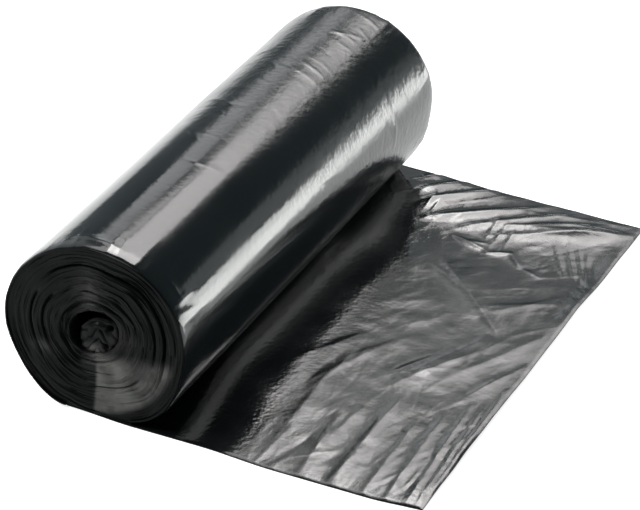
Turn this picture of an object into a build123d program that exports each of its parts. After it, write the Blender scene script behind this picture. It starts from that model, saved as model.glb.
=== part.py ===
"""A coreless roll of bin bags lying on its side, with its loose outer end drawn out along the floor.

Frame: +Z up, Y along the roll, the loose end reaching towards +X.
Origin: on the floor, under the roll's middle at half its length.
All sizes are in millimetres.
"""
from build123d import *
import os

# ---------------------------------------------------------------- driving dimensions
ROLL_LENGTH = 300.0        # width of the folded film, which is the length of the roll
ROLL_WIDTH = 93.0          # across the slumped roll
ROLL_HEIGHT = 87.0         # its height, a little less because the soft roll settles
FLAT_SPOT = 26.0           # width of the spot that the roll has settled on
WOUND_FULLNESS = 0.42      # how square the roll is low on the side where the film goes up
LOOSE_FULLNESS = 0.62      # the same on the side where the loose turns bulge out
RIM_RADIUS = 1.2           # soft edge of the outer turn at both ends

TAIL_REACH = 166.0         # how far the drawn-out end lies from the middle of the roll
TAIL_THICKNESS = 1.5       # the folded plies with the air between them
FOLD_RADIUS = 0.6          # round of the folds along both long sides of the drawn-out end

EYE_RADIUS = 12.0          # hole that the winding bar left, in the middle of the roll
TONGUE_RADIUS = 11.0       # inner end of the film, sprung back into the hole
TONGUE_SHIFT = 6.5         # how far the tongue sits towards the lower right of the hole
TONGUE_ANGLE = -45.0       # the way that it sits
EYE_CORNER = 0.7           # round of the crescent's two tips

POCKET_LENGTH = 5.6        # two small hollows left between the folds of the tongue
POCKET_WIDTH = 2.4
POCKET_ANGLES = (27.0, -48.0)
POCKET_WALL = 1.5          # film between a pocket and the round of the hole

GAP_TURNS = 6              # open turns of the spiral gap seen in each end
GAP_WIDTH = 0.9            # how far two neighbouring turns stand apart
GAP_DEPTH = 2.5            # how deep the gap reaches into the roll
INNER_MARGIN = 5.0         # tight turns between the hole and the first open gap
OUTER_MARGIN = 5.0         # turns between the last open gap and the outside

# ---------------------------------------------------------------- worked out from them
middle_height = ROLL_HEIGHT / 2
half_width = ROLL_WIDTH / 2
half_flat = FLAT_SPOT / 2
half_length = ROLL_LENGTH / 2

gap_start_radius = EYE_RADIUS + INNER_MARGIN
gap_end_radius = min(half_width, middle_height) - OUTER_MARGIN
half_turn_growth = (gap_end_radius - gap_start_radius) / (2 * GAP_TURNS)

near_end = Plane.XZ.offset(half_length)
far_end = Plane.XZ.offset(-half_length)


def lower_quarter(side, fullness):
    """Curve from the flat spot up to the roll's widest point, on side -1 or +1."""
    run = half_width - half_flat
    foot = (side * half_flat, 0)
    foot_handle = (side * (half_flat + fullness * run), 0)
    widest = (side * half_width, middle_height)
    widest_handle = (side * half_width, middle_height * (1 - fullness))
    return Bezier(foot, foot_handle, widest_handle, widest)


def half_turns(edge_shift):
    """Half circles that widen outwards about two centres, one edge of the spiral gap."""
    for count in range(2 * GAP_TURNS):
        centre_x = half_turn_growth * (count % 2)
        radius = gap_start_radius + half_turn_growth * count + edge_shift
        CenterArc((centre_x, middle_height), radius, 180 * (count % 2), 180)


# ---------------------------------------------------------------- the roll of bags
with BuildPart() as bag_roll:
    # The wound turns: an ellipse above, settled onto a flat spot below.
    with BuildSketch(Plane.XZ):
        with BuildLine():
            EllipticalCenterArc((0, middle_height), half_width, middle_height, 0, arc_size=180)
            lower_quarter(-1, WOUND_FULLNESS)
            Line((-half_flat, 0), (half_flat, 0))
            lower_quarter(1, LOOSE_FULLNESS)
        make_face()
    extrude(amount=half_length, both=True)
    rims = bag_roll.edges().filter_by(Axis.Y, reverse=True)
    fillet(rims, RIM_RADIUS)

    # The drawn-out end: the outermost plies run out flat from under the roll.
    tail_length = TAIL_REACH + half_flat
    with BuildSketch(Plane.YZ.offset(-half_flat)):
        with Locations((0, TAIL_THICKNESS / 2)):
            RectangleRounded(ROLL_LENGTH, TAIL_THICKNESS, FOLD_RADIUS)
    extrude(amount=tail_length)

    # The collapsed eye: a crescent beside the tongue, and a pocket in each of its folds.
    with BuildSketch(Plane.XZ):
        with Locations((0, middle_height)):
            Circle(EYE_RADIUS)
            with PolarLocations(TONGUE_SHIFT, 1, start_angle=TONGUE_ANGLE):
                Circle(TONGUE_RADIUS, mode=Mode.SUBTRACT)
        fillet(vertices(), EYE_CORNER)
        with Locations((0, middle_height)):
            pocket_distance = EYE_RADIUS - POCKET_WALL - POCKET_WIDTH / 2
            for pocket_angle in POCKET_ANGLES:
                with PolarLocations(pocket_distance, 1, start_angle=pocket_angle):
                    Ellipse(POCKET_WIDTH / 2, POCKET_LENGTH / 2)
    extrude(amount=half_length, both=True, mode=Mode.SUBTRACT)

    # The ends of the turns: one spiral gap, cut a little way into each end.
    for end_plane, inward in ((near_end, -GAP_DEPTH), (far_end, GAP_DEPTH)):
        with BuildSketch(end_plane):
            with BuildLine():
                half_turns(GAP_WIDTH / 2)
                half_turns(-GAP_WIDTH / 2)
                for radius in (gap_start_radius, gap_end_radius):
                    inner_corner = (radius - GAP_WIDTH / 2, middle_height)
                    outer_corner = (radius + GAP_WIDTH / 2, middle_height)
                    Line(inner_corner, outer_corner)
            make_face()
        extrude(amount=inward, mode=Mode.SUBTRACT)

bag_roll.part.label = "bag_roll"

os.makedirs("parts", exist_ok=True)
export_step(bag_roll.part, "parts/bag_roll.step")
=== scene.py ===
# %% [markdown]
# # A roll of bin bags
#
# Bin bags are sold as one long web of thin folded film, wound up without a core. This roll
# lies on its side: the film comes off underneath it and its loose end lies flat beside it.
# Everything here is one black film, so the work is in three things: the creases, the edges
# of the turns at both ends of the roll, and light that a glossy black surface can mirror.
#
# Lengths are in metres. The roll lies along Y and its loose end points along +X.

# %% Load the frame
import math

import bmesh
import bpy
import numpy as np
from mathutils import Matrix, Vector


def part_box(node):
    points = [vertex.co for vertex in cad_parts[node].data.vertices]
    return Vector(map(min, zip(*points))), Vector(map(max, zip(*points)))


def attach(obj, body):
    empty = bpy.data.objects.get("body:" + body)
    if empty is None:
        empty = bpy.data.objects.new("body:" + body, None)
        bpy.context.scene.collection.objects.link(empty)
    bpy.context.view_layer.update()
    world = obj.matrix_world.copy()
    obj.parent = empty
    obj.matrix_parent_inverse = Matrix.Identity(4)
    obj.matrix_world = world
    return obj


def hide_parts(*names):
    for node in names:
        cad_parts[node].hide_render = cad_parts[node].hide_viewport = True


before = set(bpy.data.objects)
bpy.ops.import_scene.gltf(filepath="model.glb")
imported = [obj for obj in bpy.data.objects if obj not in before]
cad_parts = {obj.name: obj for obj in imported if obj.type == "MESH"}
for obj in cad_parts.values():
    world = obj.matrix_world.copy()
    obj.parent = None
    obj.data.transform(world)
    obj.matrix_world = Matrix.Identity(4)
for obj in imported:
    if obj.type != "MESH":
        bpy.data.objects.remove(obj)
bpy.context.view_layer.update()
low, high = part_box("bag_roll")
MM = 0.001
print("the roll with its loose end spans", [round(side / MM, 1) for side in high - low], "mm")

# %% [markdown]
# ## The main sizes
#
# The frame gives the roll's length, its height and how far the loose end reaches. The roll
# has slumped: it is wider than it is high, it stands on a small flat spot, and the loose
# turns make it fuller low on the side where the film leaves.

# %% Main sizes
HALF_LENGTH = (high.y - low.y) / 2
HALF_WIDTH = -low.x
HALF_HEIGHT = high.z / 2
HALF_FLAT = 13 * MM
WOUND_FULLNESS = 0.42
LOOSE_FULLNESS = 0.62
TAIL_REACH = high.x
TAIL_THICKNESS = 1.5 * MM
print("half width", round(HALF_WIDTH / MM, 1), "half height", round(HALF_HEIGHT / MM, 1))

# %% [markdown]
# ## Camera
#
# A long lens from some way off keeps the two ends of the roll nearly the same size. The
# camera stands a little to the right of the near end, looks down by just under 30 degrees
# and leans slightly.

# %% Camera
VIEW_TURN = math.radians(21.75)
VIEW_DOWN = math.radians(28.86)
VIEW_LEAN = math.radians(4.0)
VIEW_DISTANCE = 1.832
VIEW_TARGET = Vector((0.0314, 0.0432, 0.0))
SENSOR_WIDTH = 36
LENS_LENGTH = 205.5


def camera_axes(turn, down, lean):
    """Right, up and backward directions of a camera turned about Z, tipped down and leaned."""
    back = Vector((math.sin(turn) * math.cos(down), -math.cos(turn) * math.cos(down), math.sin(down)))
    level_right = Vector((math.cos(turn), math.sin(turn), 0))
    level_up = back.cross(level_right)
    right = math.cos(lean) * level_right + math.sin(lean) * level_up
    up = math.cos(lean) * level_up - math.sin(lean) * level_right
    return right, up, back


right, up, back = camera_axes(VIEW_TURN, VIEW_DOWN, VIEW_LEAN)
camera_data = bpy.data.cameras.new("camera")
camera_data.sensor_width = SENSOR_WIDTH
camera_data.lens = LENS_LENGTH
camera_data.clip_end = 60
camera = bpy.data.objects.new("camera", camera_data)
bpy.context.collection.objects.link(camera)
turned = Matrix((right, up, back)).transposed()
camera.matrix_world = Matrix.Translation(VIEW_TARGET + back * VIEW_DISTANCE) @ turned.to_4x4()
bpy.context.scene.camera = camera
print("the camera stands at", [round(value, 3) for value in camera.matrix_world.translation])

# %% [markdown]
# ## Helpers for film
#
# Crumpled film is hills that meet in sharp creases. Random hills come from gradient noise:
# every corner of a square lattice gets a random slope, and the slopes are blended in
# between. Folding such hills at zero height gives creases.

# %% Random hills and creases
LATTICE = 128


def smooth_step(value):
    """0 below 0 and 1 above 1, with a soft turn at both ends."""
    t = np.clip(value, 0, 1)
    return t * t * (3 - 2 * t)


def swell(place, start, rise, stop, fall):
    """Rises softly from 0 to 1 over a length after start, and falls again after stop."""
    return smooth_step((place - start) / rise) * (1 - smooth_step((place - stop) / fall))


def hills(u, v, seed):
    """Random soft hills and dips, about one in each unit square, between about -1 and 1."""
    slopes = np.random.default_rng(seed).uniform(0, 2 * np.pi, (LATTICE, LATTICE))
    u0 = np.floor(u).astype(int)
    v0 = np.floor(v).astype(int)
    fu = u - u0
    fv = v - v0

    def corner(du, dv):
        """What the slope at one corner of each square gives at a place."""
        slope = slopes[(u0 + du) % LATTICE, (v0 + dv) % LATTICE]
        return np.cos(slope) * (fu - du) + np.sin(slope) * (fv - dv)

    su = fu ** 3 * (fu * (fu * 6 - 15) + 10)
    sv = fv ** 3 * (fv * (fv * 6 - 15) + 10)
    near = corner(0, 0) * (1 - su) + corner(1, 0) * su
    far = corner(0, 1) * (1 - su) + corner(1, 1) * su
    return 1.5 * (near * (1 - sv) + far * sv)


def creases(u, v, seed, sharpness=0.06):
    """Hills folded along their zero lines: sharp ridges with smooth hollows between them."""
    bend = 0.35 * hills(u * 0.5 + 7, v * 0.5, seed + 1)
    folded = hills(u + bend, v - bend, seed)
    return 0.5 - np.sqrt(folded ** 2 + sharpness ** 2)


sample = np.linspace(0, 4, 41)
sample_hills = hills(sample[:, None], sample[None, :], 1)
print("sample hills lie between", np.round([sample_hills.min(), sample_hills.max()], 2))

# %% [markdown]
# Every piece of film is a closed thin shell: a fine grid on the side that is seen, a
# coarser one on the side that isn't, and a narrow strip round the edge that joins them. A
# Solidify modifier would be quicker to set up, but it makes both sides equally fine, and the
# hidden side needs only a few faces.

# %% Build a film shell from two grids
COARSE = 4
SHARP_ANGLE = math.radians(50)


def add_piece(name, points, faces):
    """A smooth-shaded mesh object with its faces all turned outwards."""
    mesh = bpy.data.meshes.new(name)
    mesh.from_pydata(points, [], faces)
    work = bmesh.new()
    work.from_mesh(mesh)
    bmesh.ops.recalc_face_normals(work, faces=work.faces)
    work.to_mesh(mesh)
    work.free()
    mesh.polygons.foreach_set("use_smooth", [True] * len(mesh.polygons))
    mesh.set_sharp_from_angle(angle=SHARP_ANGLE)
    piece = bpy.data.objects.new(name, mesh)
    bpy.context.collection.objects.link(piece)
    triangles = sum(len(face) - 2 for face in faces)
    print(name, "has", triangles, "triangles")
    return piece


def grid_faces(numbers):
    """The quads of a grid of vertex numbers."""
    corners = (numbers[:-1, :-1], numbers[1:, :-1], numbers[1:, 1:], numbers[:-1, 1:])
    return np.stack(corners, -1).reshape(-1, 4)


def joined_edge(fine, coarse):
    """Triangles between a fine row and a coarse row of vertex numbers."""
    faces = []
    for count in range(len(coarse) - 1):
        start = count * COARSE
        for step in range(COARSE):
            near = coarse[count] if step < COARSE / 2 else coarse[count + 1]
            faces.append((fine[start + step], fine[start + step + 1], near))
        faces.append((coarse[count], coarse[count + 1], fine[start + COARSE // 2]))
    return faces


def film_shell(name, seen, hidden):
    """A closed shell from a fine grid of points and a hidden grid with a quarter of its steps."""
    seen_numbers = np.arange(seen.shape[0] * seen.shape[1]).reshape(seen.shape[:2])
    hidden_numbers = np.arange(hidden.shape[0] * hidden.shape[1]).reshape(hidden.shape[:2])
    hidden_numbers = hidden_numbers + seen_numbers.size
    faces = grid_faces(seen_numbers).tolist() + grid_faces(hidden_numbers).tolist()
    broad = len(faces)
    faces += joined_edge(seen_numbers[0], hidden_numbers[0])
    faces += joined_edge(seen_numbers[-1], hidden_numbers[-1])
    faces += joined_edge(seen_numbers[:, 0], hidden_numbers[:, 0])
    faces += joined_edge(seen_numbers[:, -1], hidden_numbers[:, -1])
    points = np.concatenate((seen.reshape(-1, 3), hidden.reshape(-1, 3)))
    shell = add_piece(name, points.tolist(), faces)
    on_edge = [0] * broad + [1] * (len(faces) - broad)
    shell.data.polygons.foreach_set("material_index", on_edge)
    return shell

# %% [markdown]
# ## The shape of the roll's section
#
# Seen from the near end, the outline is an ellipse above and two fuller curves below that
# run down to the flat spot. It could be a curve object. As plain points it can be asked for
# the place and the outward direction at any distance along it, which is what the film
# needs. It starts low on the loose side, goes over the top and ends at the flat spot.

# %% Outline of the roll
OUTLINE_STEPS = 400


def quarter_curve(side, fullness):
    """Points from the flat spot to the widest place, on side -1 or +1."""
    run = HALF_WIDTH - HALF_FLAT
    t = np.linspace(0, 1, OUTLINE_STEPS)
    handles_x = side * np.array((HALF_FLAT, HALF_FLAT + fullness * run, HALF_WIDTH, HALF_WIDTH))
    handles_z = HALF_HEIGHT * np.array((0, 0, 1 - fullness, 1))
    weights = np.stack(((1 - t) ** 3, 3 * (1 - t) ** 2 * t, 3 * (1 - t) * t ** 2, t ** 3))
    return handles_x @ weights, handles_z @ weights


def section_outline():
    """Closely spaced points of the outline from the nip over the top to the flat spot."""
    loose_x, loose_z = quarter_curve(1, LOOSE_FULLNESS)
    angle = np.linspace(0, np.pi, 2 * OUTLINE_STEPS)
    wound_x, wound_z = quarter_curve(-1, WOUND_FULLNESS)
    x = np.concatenate((loose_x, HALF_WIDTH * np.cos(angle[1:-1]), wound_x[::-1]))
    z = np.concatenate((loose_z, HALF_HEIGHT * (1 + np.sin(angle[1:-1])), wound_z[::-1]))
    above_nip = np.argmax(z > TAIL_THICKNESS / 2)
    return x[above_nip:], z[above_nip:]


outline_x, outline_z = section_outline()
outline_run = np.concatenate(((0,), np.cumsum(np.hypot(np.diff(outline_x), np.diff(outline_z)))))
WRAP_LENGTH = outline_run[-1]


def outline_point(distance):
    """X and Z of the outline at distances along it."""
    return np.interp(distance, outline_run, outline_x), np.interp(distance, outline_run, outline_z)


def outline_at(distance):
    """Points and outward directions of the outline at distances along it."""
    x, z = outline_point(distance)
    reach = 1.5 * MM
    ahead_x, ahead_z = outline_point(distance + reach)
    behind_x, behind_z = outline_point(distance - reach)
    along = np.hypot(ahead_x - behind_x, ahead_z - behind_z)
    out_x = (ahead_z - behind_z) / along
    out_z = -(ahead_x - behind_x) / along
    return x, z, out_x, out_z


print("the outermost turn is", round(WRAP_LENGTH / MM), "mm of film")

# %% [markdown]
# ## Wrinkles
#
# A pinch in film is a lens-shaped ridge: it starts at nothing, is highest and widest in
# its middle, has a sharp crest and hollow sides, and dies out again. Film that was pulled
# over has one gentle side and one steep side. One function makes one such wrinkle on any
# grid. The marked ones are listed one by one, in millimetres and degrees; the many small ones
# are drawn at random along the way that the film was pulled.

# %% One wrinkle, a list of them, and many at random
CREST = 0.02
STRAY = 0.30


def wrinkle_at(du, dv, heading, length, width, lean=0.0, bow=0.0):
    """How high one wrinkle is, from 0 to 1, at places given from its start.

    A lean above 0 makes the side on the left of the heading gentler, below 0 the right side.
    """
    way_u = math.cos(heading)
    way_v = math.sin(heading)
    share = (du * way_u + dv * way_v) / length
    lens = np.clip(4 * share * (1 - share), 0, 1)
    aside = (dv * way_u - du * way_v - bow * lens) / width
    aside = aside / (1 + lean * np.sign(aside))
    crest = np.sqrt(aside ** 2 + CREST) - math.sqrt(CREST)
    return lens * np.exp(-1.7 * crest)


def add_wrinkle(height, u, v, start, heading, length, width, rise, lean=0.0, bow=0.0):
    """Adds one wrinkle to the part of the height grid that it reaches; u runs down its rows."""
    room = 4 * width + abs(bow)
    reach_u = sorted((start[0], start[0] + length * math.cos(heading)))
    reach_v = sorted((start[1], start[1] + length * math.sin(heading)))
    rows = slice(*np.searchsorted(u, (reach_u[0] - room, reach_u[1] + room)))
    columns = slice(*np.searchsorted(v, (reach_v[0] - room, reach_v[1] + room)))
    du = u[rows, None] - start[0]
    dv = v[None, columns] - start[1]
    height[rows, columns] += rise * wrinkle_at(du, dv, heading, length, width, lean, bow)


def add_marked(height, u, v, marked):
    """Adds wrinkles from rows of u, v, heading, length, width, rise and lean, in mm and degrees."""
    for start_u, start_v, heading, length, width, rise, lean in marked:
        start = (start_u * MM, start_v * MM)
        turn = math.radians(heading)
        add_wrinkle(height, u, v, start, turn, length * MM, width * MM, rise * MM, lean)


def scatter_wrinkles(height, u, v, count, seed, heading_at, length, width, rise):
    """Adds many random wrinkles; heading_at gives the pull of the film at a place."""
    draw = np.random.default_rng(seed)
    for _ in range(count):
        start = (draw.uniform(u[0], u[-1]), draw.uniform(v[0], v[-1]))
        heading = heading_at(*start) + draw.normal(0, STRAY)
        size = draw.uniform(0.4, 1.0) ** 1.5
        add_wrinkle(
            height, u, v, start, heading,
            length=length * size * draw.uniform(0.7, 1.4),
            width=width * size * draw.uniform(0.6, 1.4),
            rise=rise * size * draw.choice((-0.7, 1.0)) * draw.uniform(0.5, 1.2),
            lean=draw.uniform(-0.5, 0.5),
            bow=length * draw.normal(0, 0.06),
        )


half_way = wrinkle_at(10 * MM, np.array((0, 1, 2, 4)) * MM, 0.0, 20 * MM, 2 * MM)
print("height of a 2 mm wide wrinkle at 0, 1, 2 and 4 mm from its crest:", np.round(half_way, 2))

# %% [markdown]
# ## The outermost turn
#
# The last turn of film is what the light falls on. It hugs the roll, so its wrinkles are
# only a tenth of a millimetre or two high, but a glossy surface shows every one. A cloth
# simulation would give creases at random; here they have to sit where the film was really
# pinched, so the turn is a grid laid along the outline and pushed out by a height map. It is
# smooth near the first end and crumpled towards the other, and it puckers at both rims.

# %% The outermost turn
WRAP_STEPS = 288
LENGTH_STEPS = 320
WRAP_THICKNESS = 0.7 * MM
FLOOR_GAP = 0.05 * MM
RIM_PUCKERS = 60
WRAP_PULL = 0.25


def run_at(angle):
    """Run along the outline, in mm, where the film faces an angle in degrees from +X over the top."""
    facing = np.degrees(np.arctan2(outline_z - HALF_HEIGHT, outline_x))
    visible = (facing > -60) & (facing < 200)
    return float(np.interp(angle, facing[visible], outline_run[visible])) / MM


def wrap_relief(run, y):
    """Height of the outermost turn above the smooth outline, on a grid of runs and places."""
    grid_run, grid_y = np.meshgrid(run, y, indexing="ij")
    height = 0.14 * MM * hills(grid_run / 0.034, grid_y / 0.11, 11)
    far_part = smooth_step((grid_y + 0.06) / 0.12)
    fine = 0.060 * MM * creases(grid_run / 0.010, grid_y / 0.013, 21, 0.15)
    fine += 0.016 * MM * creases(grid_run / 0.004, grid_y / 0.006, 25, 0.15)
    height += fine * (0.10 + 0.90 * far_part)
    scatter = np.zeros_like(height)
    scatter_wrinkles(scatter, run, y, 300, 81, lambda *place: WRAP_PULL, 0.022, 0.0026, 0.20 * MM)
    away = smooth_step((grid_run - run_at(125) * MM) / 0.03)
    height += scatter * (0.12 + 0.88 * np.maximum(far_part, 0.7 * away))
    add_marked(height, run, y, (
        (run_at(84), -141, 5, 22, 1.6, 0.22, 0.3),
        (run_at(92), -137, -8, 18, 1.5, 0.16, 0.3),
        (run_at(76), -143, 9, 16, 1.5, 0.20, 0.3),
        (run_at(32), -140, 4, 14, 1.6, 0.18, 0.3),
        (run_at(66), -50, 0, 24, 2.2, 0.15, 0.3),
        (run_at(60), 58, 20, 34, 2.6, 0.26, 0.4),
        (run_at(62), 67, 22, 30, 2.0, 0.26, 0.4),
        (run_at(66), 77, 18, 26, 1.8, 0.18, 0.4),
        (run_at(62), 112, 12, 30, 2.2, 0.22, -0.4),
        (run_at(58), 122, -18, 30, 2.4, 0.27, 0.4),
        (run_at(60), 134, 22, 26, 2.0, 0.22, 0.3),
        (run_at(98), 12, 35, 30, 3.4, 0.33, 0.4),
        (run_at(100), -28, 50, 34, 3.4, 0.30, 0.4),
        (run_at(76), 92, 60, 30, 3.0, 0.24, -0.3),
        (run_at(16), 30, -80, 26, 2.6, 0.15, 0.4),
        (run_at(-4), 96, 8, 24, 1.6, 0.33, 0.2),
    ))
    draw = np.random.default_rng(91)
    for end in (-1, 1):
        for _ in range(RIM_PUCKERS):
            start = (draw.uniform(run[0], run[-1]), end * (HALF_LENGTH + 8 * MM))
            heading = -end * math.pi / 2 + draw.normal(0, 0.14)
            length = draw.uniform(0.018, 0.040)
            rise = draw.uniform(0.03, 0.20) * MM
            width = draw.uniform(0.0018, 0.0040)
            add_wrinkle(height, run, y, start, heading, length, width, rise)
    return height


print("the top of the roll is", round(run_at(90)), "mm along the film")

# %% [markdown]
# At both ends the film curls in a little, tightly at the very rim and softly before it, so
# that the bright bands break up and the rim itself stays dark.

# %% Lay the outermost turn round the roll
def rim_rounding(y):
    """How far the film curls in towards the axis at each end of the roll."""
    from_end = HALF_LENGTH - np.abs(y)
    tight_curl = 0.6 * MM * np.exp(-from_end / (1.2 * MM))
    soft_curl = 0.8 * MM * np.exp(-from_end / (4.5 * MM))
    return tight_curl + soft_curl


wrap_run = np.linspace(0, WRAP_LENGTH, WRAP_STEPS + 1)
wrap_y = np.linspace(-HALF_LENGTH, HALF_LENGTH, LENGTH_STEPS + 1)
wrap_height = wrap_relief(wrap_run, wrap_y)
wrap_height *= swell(wrap_run, 0, 0.02, WRAP_LENGTH - 0.03, 0.03)[:, None]
wrap_height -= rim_rounding(wrap_y)[None, :]


def wrap_points(skip, inset):
    """Points of the outermost turn on every skip-th grid line, moved inwards by an inset."""
    run = wrap_run[::skip, None]
    x, z, out_x, out_z = outline_at(run)
    lift = wrap_height[::skip, ::skip] - inset
    y = np.broadcast_to(wrap_y[None, ::skip], lift.shape)
    return np.stack((x + lift * out_x, y, np.maximum(z + lift * out_z, FLOOR_GAP)), -1)


outer_turn = film_shell("outer_turn", wrap_points(1, 0.0), wrap_points(COARSE, WRAP_THICKNESS))
print("wrinkles of the outermost turn, in mm:", round(float(np.ptp(wrap_height)) / MM, 2))

# %% [markdown]
# The faces of the very rim get the second finish, the dark matt one of a film edge.

# %% Mark the rims
RIM_WIDTH = 1.2 * MM
rim_faces = 0
for face in outer_turn.data.polygons:
    if abs(face.center.y) > HALF_LENGTH - RIM_WIDTH:
        face.material_index = 1
        rim_faces += 1
print("faces in the two rims:", rim_faces)

# %% [markdown]
# ## The loose end
#
# The outermost plies run out from under the roll and lie flat. They were dragged over the
# floor, so their folds fan out: nearly along the roll at the front, slanting in the middle
# and again at the back corner, with a shallow valley between. Each fold has a gentle side
# that shines and a steep one that is dark. They could be sculpted by hand, but a list of
# folds can be read and changed. Those that matter are written down one by one, as start,
# heading, length, width, height and lean; the rest are random.

# %% The folds of the loose end
TAIL_START = -HALF_FLAT
ACROSS_STEPS = 240
ALONG_STEPS = 384
PLY_THICKNESS = 0.9 * MM

FRONT_PLEATS = (
    (84, -56, -90, 88, 7.0, 0.37, 0.5),
    (101, -84, -86, 66, 8.0, 0.48, 0.5),
    (122, -60, -91, 96, 8.0, 0.85, 0.5),
    (136, -76, -89, 80, 5.0, 0.48, 0.4),
    (145, -64, -88, 92, 5.0, 0.59, 0.4),
    (153, -56, -87, 100, 4.5, 0.64, 0.4),
    (163, -36, -89, 116, 3.0, 0.49, 0.4),
    (159, -50, -88, 106, 3.6, 0.53, 0.4),
    (112, -66, -97, 62, 7.0, 0.32, 0.4),
)
MIDDLE_FOLDS = (
    (164, 24, -114, 84, 8.0, 0.60, 0.2),
    (150, 12, -117, 90, 8.0, 0.66, 0.3),
    (138, 6, -112, 60, 7.0, 0.58, 0.4),
    (164, -10, -110, 56, 6.0, 0.60, 0.4),
    (128, -14, -118, 56, 7.0, 0.54, 0.4),
    (84, -20, -116, 56, 6.5, 1.08, 0.5),
    (108, -8, -120, 50, 8.0, 0.47, 0.4),
    (96, -30, -112, 48, 7.0, 0.41, 0.4),
)
VALLEY_FOLDS = (
    (82, 76, -49, 102, 8.0, 0.70, 0.3),
    (70, 72, -38, 54, 7.0, 0.30, 0.3),
    (118, 26, 34, 58, 7.0, 0.35, -0.4),
    (128, 24, 52, 50, 6.0, 0.30, -0.4),
    (82, 95, -18, 25, 3.8, 0.80, 0.1),
    (102, 85, 22, 17, 3.4, 0.75, 0.1),
    (114, 93, -52, 20, 3.4, 0.75, 0.1),
    (126, 79, -24, 14, 3.2, 0.50, 0.1),
    (92, 93, 8, 12, 2.6, 0.40, 0.0),
    (70, 108, -104, 36, 3.6, 0.40, 0.4),
)
BACK_FOLDS = (
    (28, 120, 48, 46, 5.0, 1.10, -0.5),
    (94, 100, 30, 60, 7.0, 0.80, -0.5),
    (112, 118, 20, 52, 8.0, 1.10, -0.5),
    (124, 130, 13, 44, 7.0, 1.00, -0.5),
    (36, 112, 49, 54, 6.0, 1.40, -0.5),
    (46, 108, 47, 60, 6.0, 1.53, -0.5),
    (60, 102, 38, 70, 7.5, 1.70, -0.5),
    (80, 102, 40, 68, 7.0, 1.53, -0.5),
    (98, 112, 30, 62, 7.0, 1.19, -0.5),
    (120, 118, 24, 52, 7.0, 0.85, -0.5),
    (104, 134, 14, 60, 5.0, 0.59, -0.5),
    (128, 118, -62, 46, 3.6, 0.44, 0.4),
    (135, 119, -64, 50, 3.6, 0.44, 0.4),
    (142, 117, -66, 46, 3.4, 0.41, 0.4),
    (149, 112, -70, 40, 3.4, 0.34, 0.4),
    (60, 134, -90, 28, 2.4, 0.34, 0.0),
    (65, 132, -92, 32, 2.4, 0.37, 0.0),
    (98, 124, -88, 32, 2.4, 0.31, 0.0),
    (104, 120, -91, 34, 2.4, 0.34, 0.0),
    (110, 118, -90, 30, 2.4, 0.27, 0.0),
)
MARKED_FOLDS = (FRONT_PLEATS, MIDDLE_FOLDS, VALLEY_FOLDS, BACK_FOLDS)
print("folds placed by hand:", sum(len(marked) for marked in MARKED_FOLDS))

# %% [markdown]
# Where the film leaves the roll it stands a little off the floor and sinks to it. That
# slope decides how far the roll's dark mirror image reaches over the film. The small
# wrinkles follow the pull of the film, which turns from one end to the other.

# %% Pull and sag of the loose end
NEAR_PULL = math.radians(84)
PULL_TURN = math.radians(40)
SAG_SLOPE = 0.06


def tail_pull(x, y):
    """Direction in which the small wrinkles of the loose end run, in radians from +X."""
    return NEAR_PULL - PULL_TURN * float(smooth_step((y + 0.10) / 0.20))


def sag_off_the_roll(x, y):
    """Height of the film where it leaves the roll a little above the floor and sinks to it."""
    places = np.linspace(TAIL_START, TAIL_REACH, 400)
    slope = SAG_SLOPE * swell(places, 0.010, 0.024, 0.068, 0.030)
    drop = np.cumsum(slope) * (places[1] - places[0])
    sag = np.interp(x, places, drop[-1] - drop)
    flat_front = smooth_step((y + HALF_LENGTH - 0.008) / 0.085)
    flat_back = 1 - 0.5 * smooth_step((y - HALF_LENGTH + 0.03) / 0.03)
    return sag * flat_front * flat_back


print("the film leaves the roll", round(float(sag_off_the_roll(TAIL_START, 0)) / MM, 1), "mm up")

# %% [markdown]
# The loose end doesn't lie dead flat either. It swells where air is caught under it, dips
# towards the back and turns up a little at its leading edge. Slow swells like these shift
# what a mirror shows much more than small wrinkles do.

# %% Heights of the loose end
FRONT_STOP = -0.025
FRONT_PULL = math.radians(-88)


def tail_swells(x, y):
    """The slow rises and dips of the loose end."""
    lift = 0.7 * MM * (1 - np.exp((-HALF_LENGTH - y) / 0.014))
    lift += 1.3 * MM * swell(y, -0.15, 0.08, 0.02, 0.075)
    lift -= 0.8 * MM * swell(y, 0.05, 0.04, 0.094, 0.045)
    lift += 1.1 * MM * smooth_step((x - 0.154) / 0.012) * swell(y, 0.015, 0.03, 0.105, 0.03)
    return lift - 0.2 * MM * smooth_step((y - HALF_LENGTH + 0.006) / 0.006)


def tail_wrinkles(x, y, grid_x, grid_y):
    """The wrinkles of the loose end: soft hills, creases, marked folds and many random ones."""
    height = 0.30 * MM * hills(grid_x / 0.045, grid_y / 0.06, 41)
    height += 0.08 * MM * hills(grid_x / 0.015, grid_y / 0.019, 43)
    height += 0.45 * MM * creases(grid_x / 0.024, grid_y / 0.030, 57, 0.2)
    height += 0.16 * MM * creases(grid_x / 0.011, grid_y / 0.013, 59, 0.2)
    for marked in MARKED_FOLDS:
        add_marked(height, x, y, marked)
    scatter_wrinkles(height, x, y, 300, 101, tail_pull, 0.032, 0.0036, 0.14 * MM)
    front = np.searchsorted(y, FRONT_STOP)
    scatter_wrinkles(
        height[:, :front], x, y[:front], 110, 107, lambda *place: FRONT_PULL,
        length=0.060, width=0.0026, rise=0.16 * MM,
    )
    scatter_wrinkles(height, x, y, 900, 103, tail_pull, 0.015, 0.0020, 0.065 * MM)
    return height + 0.05 * MM * creases(grid_x / 0.009, grid_y / 0.012, 55, 0.15)


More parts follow.
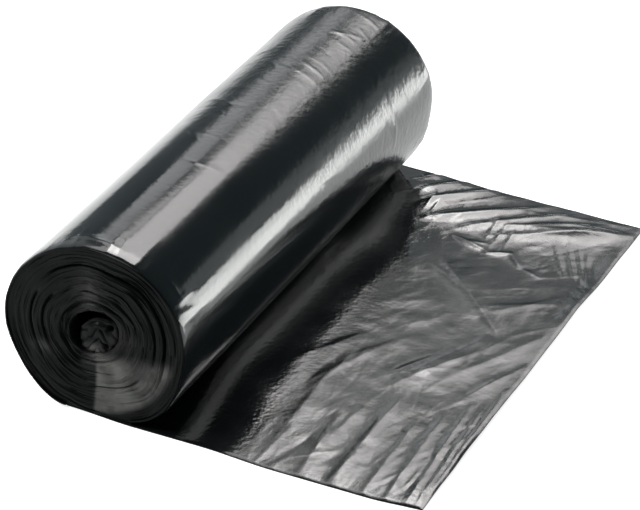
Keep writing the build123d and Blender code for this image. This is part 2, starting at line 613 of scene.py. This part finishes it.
def tail_relief(x, y):
    """Height of the loose end's upper side above its plain thickness, on a grid of x and y."""
    grid_x, grid_y = np.meshgrid(x, y, indexing="ij")
    height = tail_wrinkles(x, y, grid_x, grid_y)
    drawn_in = smooth_step((grid_y - 0.06) / 0.10)
    loose = smooth_step((grid_x - 0.070 + 0.036 * drawn_in) / 0.018)
    height *= 0.10 + 0.90 * loose
    return tail_swells(grid_x, grid_y) + height + sag_off_the_roll(grid_x, grid_y)

# %% [markdown]
# The heights become a shell as thick as the folded plies with the air between them. Its
# front edge bows out slightly and its leading edge isn't quite straight. Where it is hidden
# under the roll it is drawn in a little, so that no corner of it shows there.

# %% Lay out the loose end
LOWEST_TOP = 0.35 * MM
EDGE_WIDTH = 1.2 * MM
FRONT_BOW = 2.4 * MM
EDGE_WAVE = 0.5 * MM

tail_x = np.linspace(TAIL_START, TAIL_REACH, ACROSS_STEPS + 1)
tail_y = np.linspace(-HALF_LENGTH, HALF_LENGTH, ALONG_STEPS + 1)
tail_top = np.maximum(PLY_THICKNESS + tail_relief(tail_x, tail_y), LOWEST_TOP)
from_edge = np.minimum(HALF_LENGTH - np.abs(tail_y)[None, :], (TAIL_REACH - tail_x)[:, None])
tail_top -= 0.25 * MM * (1 - smooth_step(from_edge / EDGE_WIDTH))


def tail_points(skip, heights):
    """Points of the loose end on every skip-th grid line, at the given heights."""
    x, y = np.meshgrid(tail_x[::skip], tail_y[::skip], indexing="ij")
    front_share = np.clip((HALF_LENGTH - y) / (2 * HALF_LENGTH), 0, 1) ** 3
    bulge = smooth_step((x - 0.055) / 0.04) * smooth_step((TAIL_REACH + 0.004 - x) / 0.03)
    drawn_in = 0.015 * (1 - smooth_step((x - TAIL_START) / 0.035))
    y = y * (1 - drawn_in) - FRONT_BOW * front_share * bulge
    x = x + EDGE_WAVE * hills(y / 0.03, x * 0 + 0.5, 47) * smooth_step((x - 0.12) / 0.04)
    return np.stack((x, y, heights), -1)


tail_under = np.maximum(tail_top[::COARSE, ::COARSE] - PLY_THICKNESS, FLOOR_GAP)
loose_end = film_shell("loose_end", tail_points(1, tail_top), tail_points(COARSE, tail_under))
print("highest place of the loose end, in mm:", round(float(tail_top.max()) / MM, 2))

# %% [markdown]
# ## The wound turns
#
# Each end of the roll shows the edges of well over a hundred turns. Drawn one by one they
# would be finer than the eye can part, so both ends are one ring-shaped surface whose
# relief follows a spiral: most turns only leave a shallow groove, a few stand apart and
# leave a deep dark gap. The same surface runs through the eye from end to end.

# %% Edges of the turns
TURN_STEPS = 288
RING_STEPS = 140
EYE_STEPS = 12
EYE_RADIUS = 12 * MM
RINGS = 19
GROOVE_WIDTH = 0.24
EDGE_INSET = 0.9 * MM
LOWEST_EDGE = 0.8 * MM

# Open gaps between turns: place from the eye (0) to the outside (1), from and to which
# angle in degrees, depth in millimetres and half width as a share.
OPEN_GAPS = (
    (0.70, -36, 150, 2.6, 0.020),
    (0.56, -26, 66, 1.5, 0.016),
    (0.62, 148, 222, 1.6, 0.016),
    (0.43, 140, 224, 1.8, 0.018),
    (0.28, 10, 120, 1.0, 0.018),
    (0.13, -180, 180, 1.5, 0.026),
    (0.30, 200, 300, 1.0, 0.018),
    (0.88, 180, 290, 0.8, 0.014),
    (0.83, 20, 130, 0.6, 0.012),
    (0.50, 262, 330, 0.9, 0.012),
)
deepest = max(gap[3] for gap in OPEN_GAPS)
print("open gaps at each end:", len(OPEN_GAPS), "- the deepest is", deepest, "mm")

def turn_about(angle, middle):
    """Signed degrees from middle to an angle in radians, between -180 and 180."""
    return (np.degrees(angle) - middle + 180) % 360 - 180


def ring_relief(share, angle, seed):
    """How far the turns' edges stand out, from the eye at 0 to the outside at 1."""
    wobble = 0.25 * hills(3 * np.cos(angle) + 5, share * 6 + 2 * np.sin(angle), seed + 2)
    phase = share * RINGS + angle / (2 * np.pi) + wobble
    whole = np.floor(phase)
    part = phase - whole
    groove = np.exp(-((part - 0.5) / GROOVE_WIDTH) ** 2)
    depth = np.clip(0.10 + 1.3 * hills(whole * 3.7 + 0.5, 2.4 * np.cos(angle) + 9, seed), 0.04, 1)
    relief = 0.7 * hills(whole * 1.9 + 0.3, 1.7 * np.sin(angle) + 5, seed + 1)
    relief = relief - 0.75 * depth * groove
    for place, start, stop, deep, width in OPEN_GAPS:
        half = (stop - start) / 2
        off = turn_about(angle, (start + stop) / 2) / half
        along = np.ones_like(off) if half == 180 else smooth_step(2.5 * (1 - np.abs(off)))
        drift = place + 0.012 * np.sin(2.2 * off + seed)
        relief = relief - deep * along * np.exp(-((share - drift) / width) ** 2)
    return relief * MM

# %% [markdown]
# The rings go from the round eye in the middle to the slumped outline outside, so each
# place is a share of the way between the two. A plain set of circles would leave a gap or
# poke through, because the outline isn't round.

# %% One end of the roll
def section_radius(angle):
    """Distance from the eye's middle to the outline in each direction."""
    ring_z = outline_z - HALF_HEIGHT
    outline_angle = np.arctan2(ring_z, outline_x)
    order = np.argsort(outline_angle)
    distance = np.hypot(outline_x, ring_z)
    return np.interp(angle, outline_angle[order], distance[order], period=2 * np.pi)


def end_face(side, seed):
    """Rows of points from the outside in to the eye, on the end at side -1 or +1."""
    angle = np.linspace(0, 2 * np.pi, TURN_STEPS, endpoint=False)[None, :]
    share = np.linspace(1, 0, RING_STEPS + 1)[:, None]
    share, angle = np.broadcast_arrays(share, angle)
    outer = section_radius((angle + np.pi) % (2 * np.pi) - np.pi) - EDGE_INSET
    wander = 1.4 * MM * hills(share * 3, 2 * np.cos(angle) + 3, seed + 5) * share * (1 - share) * 4
    squash = 1 + 0.10 * np.sin(2 * angle + 0.6) * (1 - share)
    radius = EYE_RADIUS * squash + (outer - EYE_RADIUS * squash) * share + wander
    x = radius * np.cos(angle)
    z = radius * np.sin(angle)
    relief = ring_relief(share, angle, seed) + 0.7 * MM * hills(x / 0.018 + 3, z / 0.018, seed + 7)
    y = side * (HALF_LENGTH - EDGE_INSET + relief)
    return np.stack((x, y, np.maximum(HALF_HEIGHT + z, LOWEST_EDGE)), -1)


near_face = end_face(-1, 61)
far_face = end_face(1, 71)[::-1]
print("relief of the near end, in mm:", round(float(np.ptp(near_face[..., 1])) / MM, 1))

# %% [markdown]
# Where the ends were pushed against something, the film's edges lie over and mirror more of
# the pale floor, so they look lighter. That sheen is painted into the colour here, as a
# painted reflection. A painted mask could say where. Here a few soft spots are enough, and how
# strong the painted sheen is at each point gets stored on the mesh itself, for the material to use.

# %% Painted sheen where edges lie flat
# Spots of painted sheen beside the large one at the lower right: how pale, middle X and Z
# from the eye's middle, and half width and half height, all in millimetres but the first.
PAINTED_SHEEN_SPOTS = (
    (0.45, -3, 22, 6, 9),
    (0.35, -24, -14, 6, 3),
    (0.25, 14, -1, 7, 8),
    (0.8, 2.5, -13, 4, 3),
    (0.7, 1, -8, 3.5, 2.5),
)


def painted_sheen_places(points):
    """Painted sheen: 0 where film edges stand on end, up to 1 where they lie flat and mirror more
    light.
    """
    x = points[:, 0] / MM
    z = (points[:, 2] - HALF_HEIGHT) / MM
    radius = np.hypot(x, z)
    # The large soft spot of painted sheen at the lower right, then the listed spots.
    painted_sheen = smooth_step((x - 1) / 2) * smooth_step((-z - 8 + 0.1 * x) / 8)
    painted_sheen = painted_sheen * smooth_step((43 - radius) / 5)
    for amount, spot_x, spot_z, half_width, half_height in PAINTED_SHEEN_SPOTS:
        off = ((x - spot_x) / half_width) ** 2 + ((z - spot_z) / half_height) ** 2
        painted_sheen = painted_sheen + amount * np.exp(-off)
    return np.clip(painted_sheen, 0, 1)


def mark_painted_sheen(piece, points):
    """Stores on a piece how strong the painted sheen of flat-lying film edges is at each point."""
    painted_sheen = piece.data.attributes.new("painted_sheen", "FLOAT", "POINT")
    amounts = painted_sheen_places(points)
    painted_sheen.data.foreach_set("value", amounts.astype(np.float32))
    print("average painted_sheen_strength of", piece.name, "from 0 to 1:", round(float(amounts.mean()), 2))

# %% [markdown]
# The two ends are joined by a plain tube through the eye and closed round the outside, out of
# sight under the outermost turn. That makes one closed mesh with no loose rim.

# %% Join both ends through the eye
def wall_between(near_row, far_row):
    """Rows of points that lead from the last row of the near end to the first of the far end."""
    share = np.linspace(0, 1, EYE_STEPS + 2)[1:-1, None, None]
    return near_row * (1 - share) + far_row * share


eye_wall = wall_between(near_face[-1], far_face[0])
rows = np.concatenate((near_face, eye_wall, far_face)).reshape(-1, 3)
numbers = np.arange(len(rows)).reshape(-1, TURN_STEPS)
closed = np.concatenate((numbers, numbers[:1]), 0)
closed = np.concatenate((closed, closed[:, :1]), 1)
wound_turns = add_piece("wound_turns", rows.tolist(), grid_faces(closed).tolist())
# Stores the painted sheen of flat-lying edges on the wound turns.
mark_painted_sheen(wound_turns, rows)
print("faces of the wound turns:", len(wound_turns.data.polygons))

# %% [markdown]
# ## The innermost turns
#
# When the winding bar was pulled out, the innermost turns sprang together into a bundle
# that half fills the eye and leaves a crescent open beside it. Ribbons folded one by one
# would show the same from outside. The bundle is a closed rod instead: its two ends show
# folded plies like roof tiles and small hollows between them.

# %% The innermost turns
WAD_STEPS = 120
WAD_RINGS = 40
WAD_MIDDLE = (3.6, -3.6)
TONGUE_MIDDLE = (3.7, -3.7)
TONGUE_RADIUS = 11.4
EYE_CLEARANCE = 0.3
PLY_PITCH = 5.2
PLY_GROOVE = 0.9
PEAK_PLACE = 2.4
# Hollows: angle in degrees, distance from the eye's middle, size and depth in millimetres.
WAD_POCKETS = ((24, 8.4, 1.5, 5.0), (-44, 8.6, 1.3, 3.5))


def reach_to_circle(middle, radius, way_x, way_z):
    """How far a circle lies from the wad's middle along each direction, in millimetres."""
    off_x = WAD_MIDDLE[0] - middle[0]
    off_z = WAD_MIDDLE[1] - middle[1]
    along = off_x * way_x + off_z * way_z
    return -along + np.sqrt(along ** 2 - off_x ** 2 - off_z ** 2 + radius ** 2)


def wad_cap(side, seed):
    """Rows of points over one end of the innermost turns, from the middle to the rim."""
    angle = np.linspace(0, 2 * np.pi, WAD_STEPS, endpoint=False)[None, :]
    share = np.linspace(0.02, 1, WAD_RINGS + 1)[:, None]
    share, angle = np.broadcast_arrays(share, angle)
    way_x = np.cos(angle)
    way_z = np.sin(angle)
    to_tongue = reach_to_circle(TONGUE_MIDDLE, TONGUE_RADIUS, way_x, way_z)
    to_eye = reach_to_circle((0, 0), EYE_RADIUS / MM - EYE_CLEARANCE, way_x, way_z)
    rim = np.minimum(to_tongue, to_eye) * (1 + 0.05 * hills(2 * way_x + 4, 2 * way_z + 4, seed))
    rim = np.minimum(rim, to_eye)
    x = WAD_MIDDLE[0] + share * rim * way_x
    z = WAD_MIDDLE[1] + share * rim * way_z
    stands = -0.9 - 1.6 * share ** 5 + 0.6 * hills(x / 6 + 3, z / 6, seed + 1)
    across_plies = z + np.sqrt((x - PEAK_PLACE) ** 2 + 1.5)
    across_plies = across_plies + 2.0 * hills(x / 5 + 9, z / 5, seed + 2)
    ply_part = across_plies / PLY_PITCH - np.floor(across_plies / PLY_PITCH)
    stands = stands - PLY_GROOVE * np.exp(-((ply_part - 0.5) / 0.16) ** 2)
    for pocket_angle, distance, size, depth in WAD_POCKETS:
        off_x = x - distance * math.cos(math.radians(pocket_angle))
        off_z = z - distance * math.sin(math.radians(pocket_angle))
        stands = stands - depth * np.exp(-(off_x ** 2 + off_z ** 2) / size ** 2)
    return np.stack((x * MM, side * (HALF_LENGTH + stands * MM), HALF_HEIGHT + z * MM), -1)


near_cap = wad_cap(-1, 131)
far_cap = wad_cap(1, 141)[::-1]
print("relief of the bundle's near end, in mm:", round(float(np.ptp(near_cap[..., 1])) / MM, 1))

# %% [markdown]
# The rod's side is made by the same helper as the wall of the eye, and one flat face with
# many corners closes the tiny hole that is left in the middle of each end.

# %% Join both ends of the bundle
wad_wall = wall_between(near_cap[-1], far_cap[0])
wad_rows = np.concatenate((near_cap, wad_wall, far_cap))
wad_numbers = np.arange(wad_rows.shape[0] * WAD_STEPS).reshape(-1, WAD_STEPS)
wad_faces = grid_faces(np.concatenate((wad_numbers, wad_numbers[:, :1]), 1)).tolist()
wad_faces.append(wad_numbers[0].tolist())
wad_faces.append(wad_numbers[-1].tolist())
wad_rows = wad_rows.reshape(-1, 3)
innermost_turns = add_piece("innermost_turns", wad_rows.tolist(), wad_faces)
# Stores the painted sheen of flat-lying edges on the innermost turns.
mark_painted_sheen(innermost_turns, wad_rows)
print("faces of the innermost turns:", len(innermost_turns.data.polygons))

# %% [markdown]
# ## The film's finish
#
# Black polyethylene has hardly any colour of its own: what is seen is the room mirrored in
# it. So the base colour is nearly black, and the roughness does the work. It wanders in
# soft patches from clear to hazy, as handling leaves it, over a fine bump.

# %% Haze and fine crumple
HAZE_SCALE = 28


def noise_value(nodes, links, coordinates, scale, detail):
    """Soft random patches from 0 to 1."""
    noise = nodes.new("ShaderNodeTexNoise")
    noise.inputs["Scale"].default_value = scale
    noise.inputs["Detail"].default_value = detail
    links.new(coordinates.outputs["Object"], noise.inputs["Vector"])
    return noise.outputs["Fac"]


def map_range(nodes, links, value, start, stop, low_value, high_value):
    """A Map Range node that turns start to stop into low_value to high_value."""
    spread = nodes.new("ShaderNodeMapRange")
    spread.inputs["From Min"].default_value = start
    spread.inputs["From Max"].default_value = stop
    spread.inputs["To Min"].default_value = low_value
    spread.inputs["To Max"].default_value = high_value
    links.new(value, spread.inputs["Value"])
    return spread


def wandering_value(nodes, links, coordinates, scale, low_value, high_value):
    """A number that wanders between two values in soft patches."""
    noise = noise_value(nodes, links, coordinates, scale, 4)
    return map_range(nodes, links, noise, 0.35, 0.65, low_value, high_value).outputs["Result"]


def crumple_bump(nodes, links, coordinates, scale, distance):
    """Fine random crumple, finer than the mesh."""
    crumple = noise_value(nodes, links, coordinates, scale, 3)
    bump = nodes.new("ShaderNodeBump")
    bump.inputs["Strength"].default_value = 1.0
    bump.inputs["Distance"].default_value = distance
    links.new(crumple, bump.inputs["Height"])
    return bump.outputs["Normal"]


def film_material(name, color, smooth, hazy, crumple_scale, crumple_distance):
    """Black film: a gloss that wanders from smooth to hazy, over a fine crumple."""
    material = bpy.data.materials.new(name)
    material.use_nodes = True
    nodes = material.node_tree.nodes
    links = material.node_tree.links
    shader = nodes["Principled BSDF"]
    shader.inputs["Base Color"].default_value = (*color, 1)
    coordinates = nodes.new("ShaderNodeTexCoord")
    haze = wandering_value(nodes, links, coordinates, HAZE_SCALE, smooth, hazy)
    links.new(haze, shader.inputs["Roughness"])
    normal = crumple_bump(nodes, links, coordinates, crumple_scale, crumple_distance)
    links.new(normal, shader.inputs["Normal"])
    print(name, "wanders between a roughness of", smooth, "and", hazy)
    return material

# %% [markdown]
# Three finishes are made from it: the tight outer turn, the handled loose end, and the
# cut edges of the turns, which are matt.

# %% The three finishes
wrap_film = film_material("wrap_film", (0.004, 0.005, 0.0055), 0.10, 0.16, 300, 0.00018)
loose_film = film_material("loose_film", (0.005, 0.0055, 0.006), 0.16, 0.24, 420, 0.00007)
film_edges = film_material("film_edges", (0.0025, 0.003, 0.003), 0.35, 0.5, 900, 0.0001)

# %% [markdown]
# The film isn't equally clear everywhere. The roll gets hazier and more crumpled towards its
# far end, and the loose end is clearer where it comes off the roll.

# %% Haze and crumple that change along the frame
def value_along(material, axis, start, stop, low_value, high_value):
    """A number that changes softly along one axis of the frame, from start to stop in metres."""
    nodes = material.node_tree.nodes
    links = material.node_tree.links
    coordinates = nodes.new("ShaderNodeTexCoord")
    split = nodes.new("ShaderNodeSeparateXYZ")
    links.new(coordinates.outputs["Object"], split.inputs["Vector"])
    along = map_range(nodes, links, split.outputs[axis], start, stop, low_value, high_value)
    along.interpolation_type = "SMOOTHSTEP"
    return along.outputs["Result"]


def add_haze(material, more_haze):
    """Adds a changing number to the haze that a film has already."""
    shader = material.node_tree.nodes["Principled BSDF"]
    wander = shader.inputs["Roughness"].links[0].from_socket
    add = material.node_tree.nodes.new("ShaderNodeMath")
    add.operation = "ADD"
    material.node_tree.links.new(more_haze, add.inputs[0])
    material.node_tree.links.new(wander, add.inputs[1])
    material.node_tree.links.new(add.outputs["Value"], shader.inputs["Roughness"])


def scale_crumple(material, strength):
    """Lets a changing number say how strong the fine crumple is."""
    bump = next(node for node in material.node_tree.nodes if node.type == "BUMP")
    material.node_tree.links.new(strength, bump.inputs["Strength"])


add_haze(wrap_film, value_along(wrap_film, "Y", -0.06, 0.06, 0.0, 0.09))
scale_crumple(wrap_film, value_along(wrap_film, "Y", -0.06, 0.06, 0.25, 1.0))
add_haze(loose_film, value_along(loose_film, "X", 0.068, 0.090, -0.12, 0.0))
for film in (wrap_film, loose_film):
    print(film.name, "has", len(film.node_tree.nodes), "nodes")

# %% [markdown]
# Film edges that lie flat catch more light than edges that stand up. That light is painted
# into the base colour here, as a painted sheen. The amount stored on the points is broken up
# by fine patches, so that no spot looks like a stain.

# %% Painted sheen on edges that lie flat
PATCH_SCALE = 90


def paint_sheen_where_flat(material, pale):
    """Mixes in a paler tone, a painted sheen, where the turns' edges lie flat, in fine patches."""
    nodes = material.node_tree.nodes
    links = material.node_tree.links
    shader = nodes["Principled BSDF"]
    attribute = nodes.new("ShaderNodeAttribute")
    attribute.attribute_name = "painted_sheen"
    coordinates = nodes.new("ShaderNodeTexCoord")
    patches = wandering_value(nodes, links, coordinates, PATCH_SCALE, 0.35, 1.0)
    amount = nodes.new("ShaderNodeMath")
    amount.operation = "MULTIPLY"
    links.new(attribute.outputs["Fac"], amount.inputs[0])
    links.new(patches, amount.inputs[1])
    mix = nodes.new("ShaderNodeMix")
    mix.data_type = "RGBA"
    mix.inputs["A"].default_value = shader.inputs["Base Color"].default_value
    mix.inputs["B"].default_value = (*pale, 1)
    links.new(amount.outputs["Value"], mix.inputs["Factor"])
    links.new(mix.outputs["Result"], shader.inputs["Base Color"])


# The paler tone is a painted sheen: light that flat-lying film edges would mirror.
paint_sheen_where_flat(film_edges, (0.105, 0.105, 0.098))
film_edges.node_tree.nodes["Principled BSDF"].inputs["Specular IOR Level"].default_value = 0.07
print("nodes in the edge finish:", len(film_edges.node_tree.nodes))

# %% [markdown]
# ## Dress the pieces and tell the frame about them
#
# All four pieces ride on the one body and stand in for its one solid. The rim of the outer
# turn and the cut sides of the loose end get the edge finish.

# %% Give each piece its finish
for piece, material in (
    (outer_turn, wrap_film),
    (loose_end, loose_film),
    (innermost_turns, film_edges),
    (wound_turns, film_edges),
):
    piece.data.materials.append(material)
    if piece in (outer_turn, loose_end):
        piece.data.materials.append(film_edges)
    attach(piece, "root")
    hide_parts("bag_roll")
    print(piece.name, "wears", [slot.name for slot in piece.data.materials])

# %% [markdown]
# The outermost turn and the loose end are sheets with a known flat size: the roll's length
# by the length of film laid. The wound and the innermost turns are blocks of many turns.

print("the loose end is", round((TAIL_REACH - TAIL_START) / MM), "mm of film")

# %% [markdown]
# ## Floor and backdrop
#
# A plain pale floor, wide enough to fill the view, with a little light of its own so that
# it stays white behind a black object. A strong lamp could do that too, but the film would
# mirror it.

# %% Floor and backdrop
FLOOR_SIZE = 24
FLOOR_LEVEL = -0.2 * MM


def flat_square(name, size, z):
    """One square face that lies flat at a height."""
    mesh = bpy.data.meshes.new(name)
    half = size / 2
    corners = [(-half, -half, z), (half, -half, z), (half, half, z), (-half, half, z)]
    mesh.from_pydata(corners, [], [(0, 1, 2, 3)])
    square = bpy.data.objects.new(name, mesh)
    bpy.context.collection.objects.link(square)
    return square


floor = flat_square("floor", FLOOR_SIZE, FLOOR_LEVEL)
pale = bpy.data.materials.new("pale_floor")
pale.use_nodes = True
pale_shader = pale.node_tree.nodes["Principled BSDF"]
pale_shader.inputs["Base Color"].default_value = (0.8, 0.8, 0.8, 1)
pale_shader.inputs["Roughness"].default_value = 0.9
pale_shader.inputs["Specular IOR Level"].default_value = 0.0
pale_shader.inputs["Emission Color"].default_value = (1, 1, 1, 1)
pale_shader.inputs["Emission Strength"].default_value = 0.80
floor.data.materials.append(pale)
print("the floor is", FLOOR_SIZE, "m wide")

# %% [markdown]
# The room beyond the panels is dim and a little bluish. That is what black film mirrors
# wherever no panel stands, so it sets how dark the dark parts are. Plain view tones keep
# black black; a filmic view would lift it.

# %% The room
world = bpy.data.worlds.new("room")
bpy.context.scene.world = world
world.use_nodes = True
background = world.node_tree.nodes["Background"]
background.inputs["Color"].default_value = (0.085, 0.12, 0.13, 1)
background.inputs["Strength"].default_value = 1.0
bpy.context.scene.view_settings.view_transform = "Standard"
print("the room's tone:", [round(value, 3) for value in background.inputs["Color"].default_value[:3]])

# %% [markdown]
# ## Light
#
# Lamps only show on a black mirror as what it reflects, so each light is a large soft
# panel placed by the direction that it is seen in: degrees from +Y towards +X, and degrees
# up. A ready-made room wrapped round the scene would give reflections too, but none of them
# could be moved. One tall window, brightest at the top, gives the wide band on the roll and
# the sheen of the loose end, and dim panels beside it shade the band off.

# %% Soft panels
WARM_WHITE = (1.0, 0.975, 0.965)
COOL_WHITE = (0.98, 0.99, 1.0)
SKY_WHITE = (0.97, 0.98, 1.0)


def lit_panel(name, place, facing, width, height, brightness, color):
    """A rectangle of light that the camera doesn't see; facing points away from what it lights."""
    data = bpy.data.lights.new(name, "AREA")
    data.shape = "RECTANGLE"
    data.size = width
    data.size_y = height
    data.energy = brightness * math.pi * width * height
    data.color = color
    light = bpy.data.objects.new(name, data)
    bpy.context.collection.objects.link(light)
    light.location = place
    light.rotation_euler = facing.to_track_quat("Z", "Y").to_euler()
    light.visible_camera = False


def softbox(name, azimuth, elevation, distance, width, height, brightness, color, aim=(0, 0, 0.05)):
    """A panel that faces the roll from a direction given in degrees from +Y towards +X."""
    turn = math.radians(azimuth)
    rise = math.radians(elevation)
    way = Vector((math.sin(turn) * math.cos(rise), math.cos(turn) * math.cos(rise), math.sin(rise)))
    lit_panel(name, Vector(aim) + way * distance, way, width, height, brightness, color)


softbox("window_top", -6.0, 50.0, 8.0, 3.40, 2.60, 9.0, WARM_WHITE)
softbox("window_upper", -4.2, 37.8, 8.0, 2.10, 0.85, 5.2, WARM_WHITE)
softbox("window_lower", -4.0, 31.0, 8.0, 2.60, 1.12, 3.3, WARM_WHITE)
softbox("window_side", -18.8, 40.9, 8.0, 0.90, 2.25, 3.7, WARM_WHITE)
softbox("shoulder", -26.0, 22.0, 8.0, 1.15, 2.6, 1.75, COOL_WHITE)
softbox("below_side", -17.5, 24.5, 8.0, 1.03, 2.1, 0.42, COOL_WHITE)
softbox("under_window", -4.0, 19.5, 8.0, 2.60, 2.0, 0.55, COOL_WHITE)
softbox("high_panel", -30, 48, 8.0, 2.4, 2.6, 3.0, WARM_WHITE)
softbox("left_low", -39, 11, 8.0, 2.3, 2.6, 0.08, SKY_WHITE)
softbox("left_wall", -70, 22, 3.0, 3.4, 2.4, 0.58, SKY_WHITE)
softbox("back_window", -112, 42, 5.0, 1.8, 1.1, 2.4, (1.0, 0.99, 0.98))
softbox("dim_panel", 33.5, 12.5, 2.0, 0.5, 0.36, 0.7, (0.93, 1.0, 0.99))
softbox("table_light", 225, 50, 1.5, 0.6, 0.6, 15.0, (1.0, 1.0, 1.0), aim=(-0.25, 0.0, 0))
print("soft panels:", len(bpy.data.lights))

# %% [markdown]
# The narrow bright line on the roll's side comes from low down, beyond the loose end. A panel
# lying back from the floor there gives a line that runs straight along the roll.

# %% Low strip of light
STRIP_LIFT = 2 * MM


def floor_panel(name, near_x, far_x, far_height, near_y, far_y, brightness, color):
    """A panel that leans back from the floor beyond the loose end, facing the roll."""
    run = far_x - near_x
    place = ((near_x + far_x) / 2, (near_y + far_y) / 2, far_height / 2 + STRIP_LIFT)
    facing = Vector((far_height, 0, -run))
    lit_panel(name, place, facing, far_y - near_y, math.hypot(run, far_height), brightness, color)


floor_panel("low_strip", 0.255, 0.50, 0.124, 0.02, 0.95, 6.8, (0.98, 1.0, 0.975))
print("panels in all:", len(bpy.data.lights))
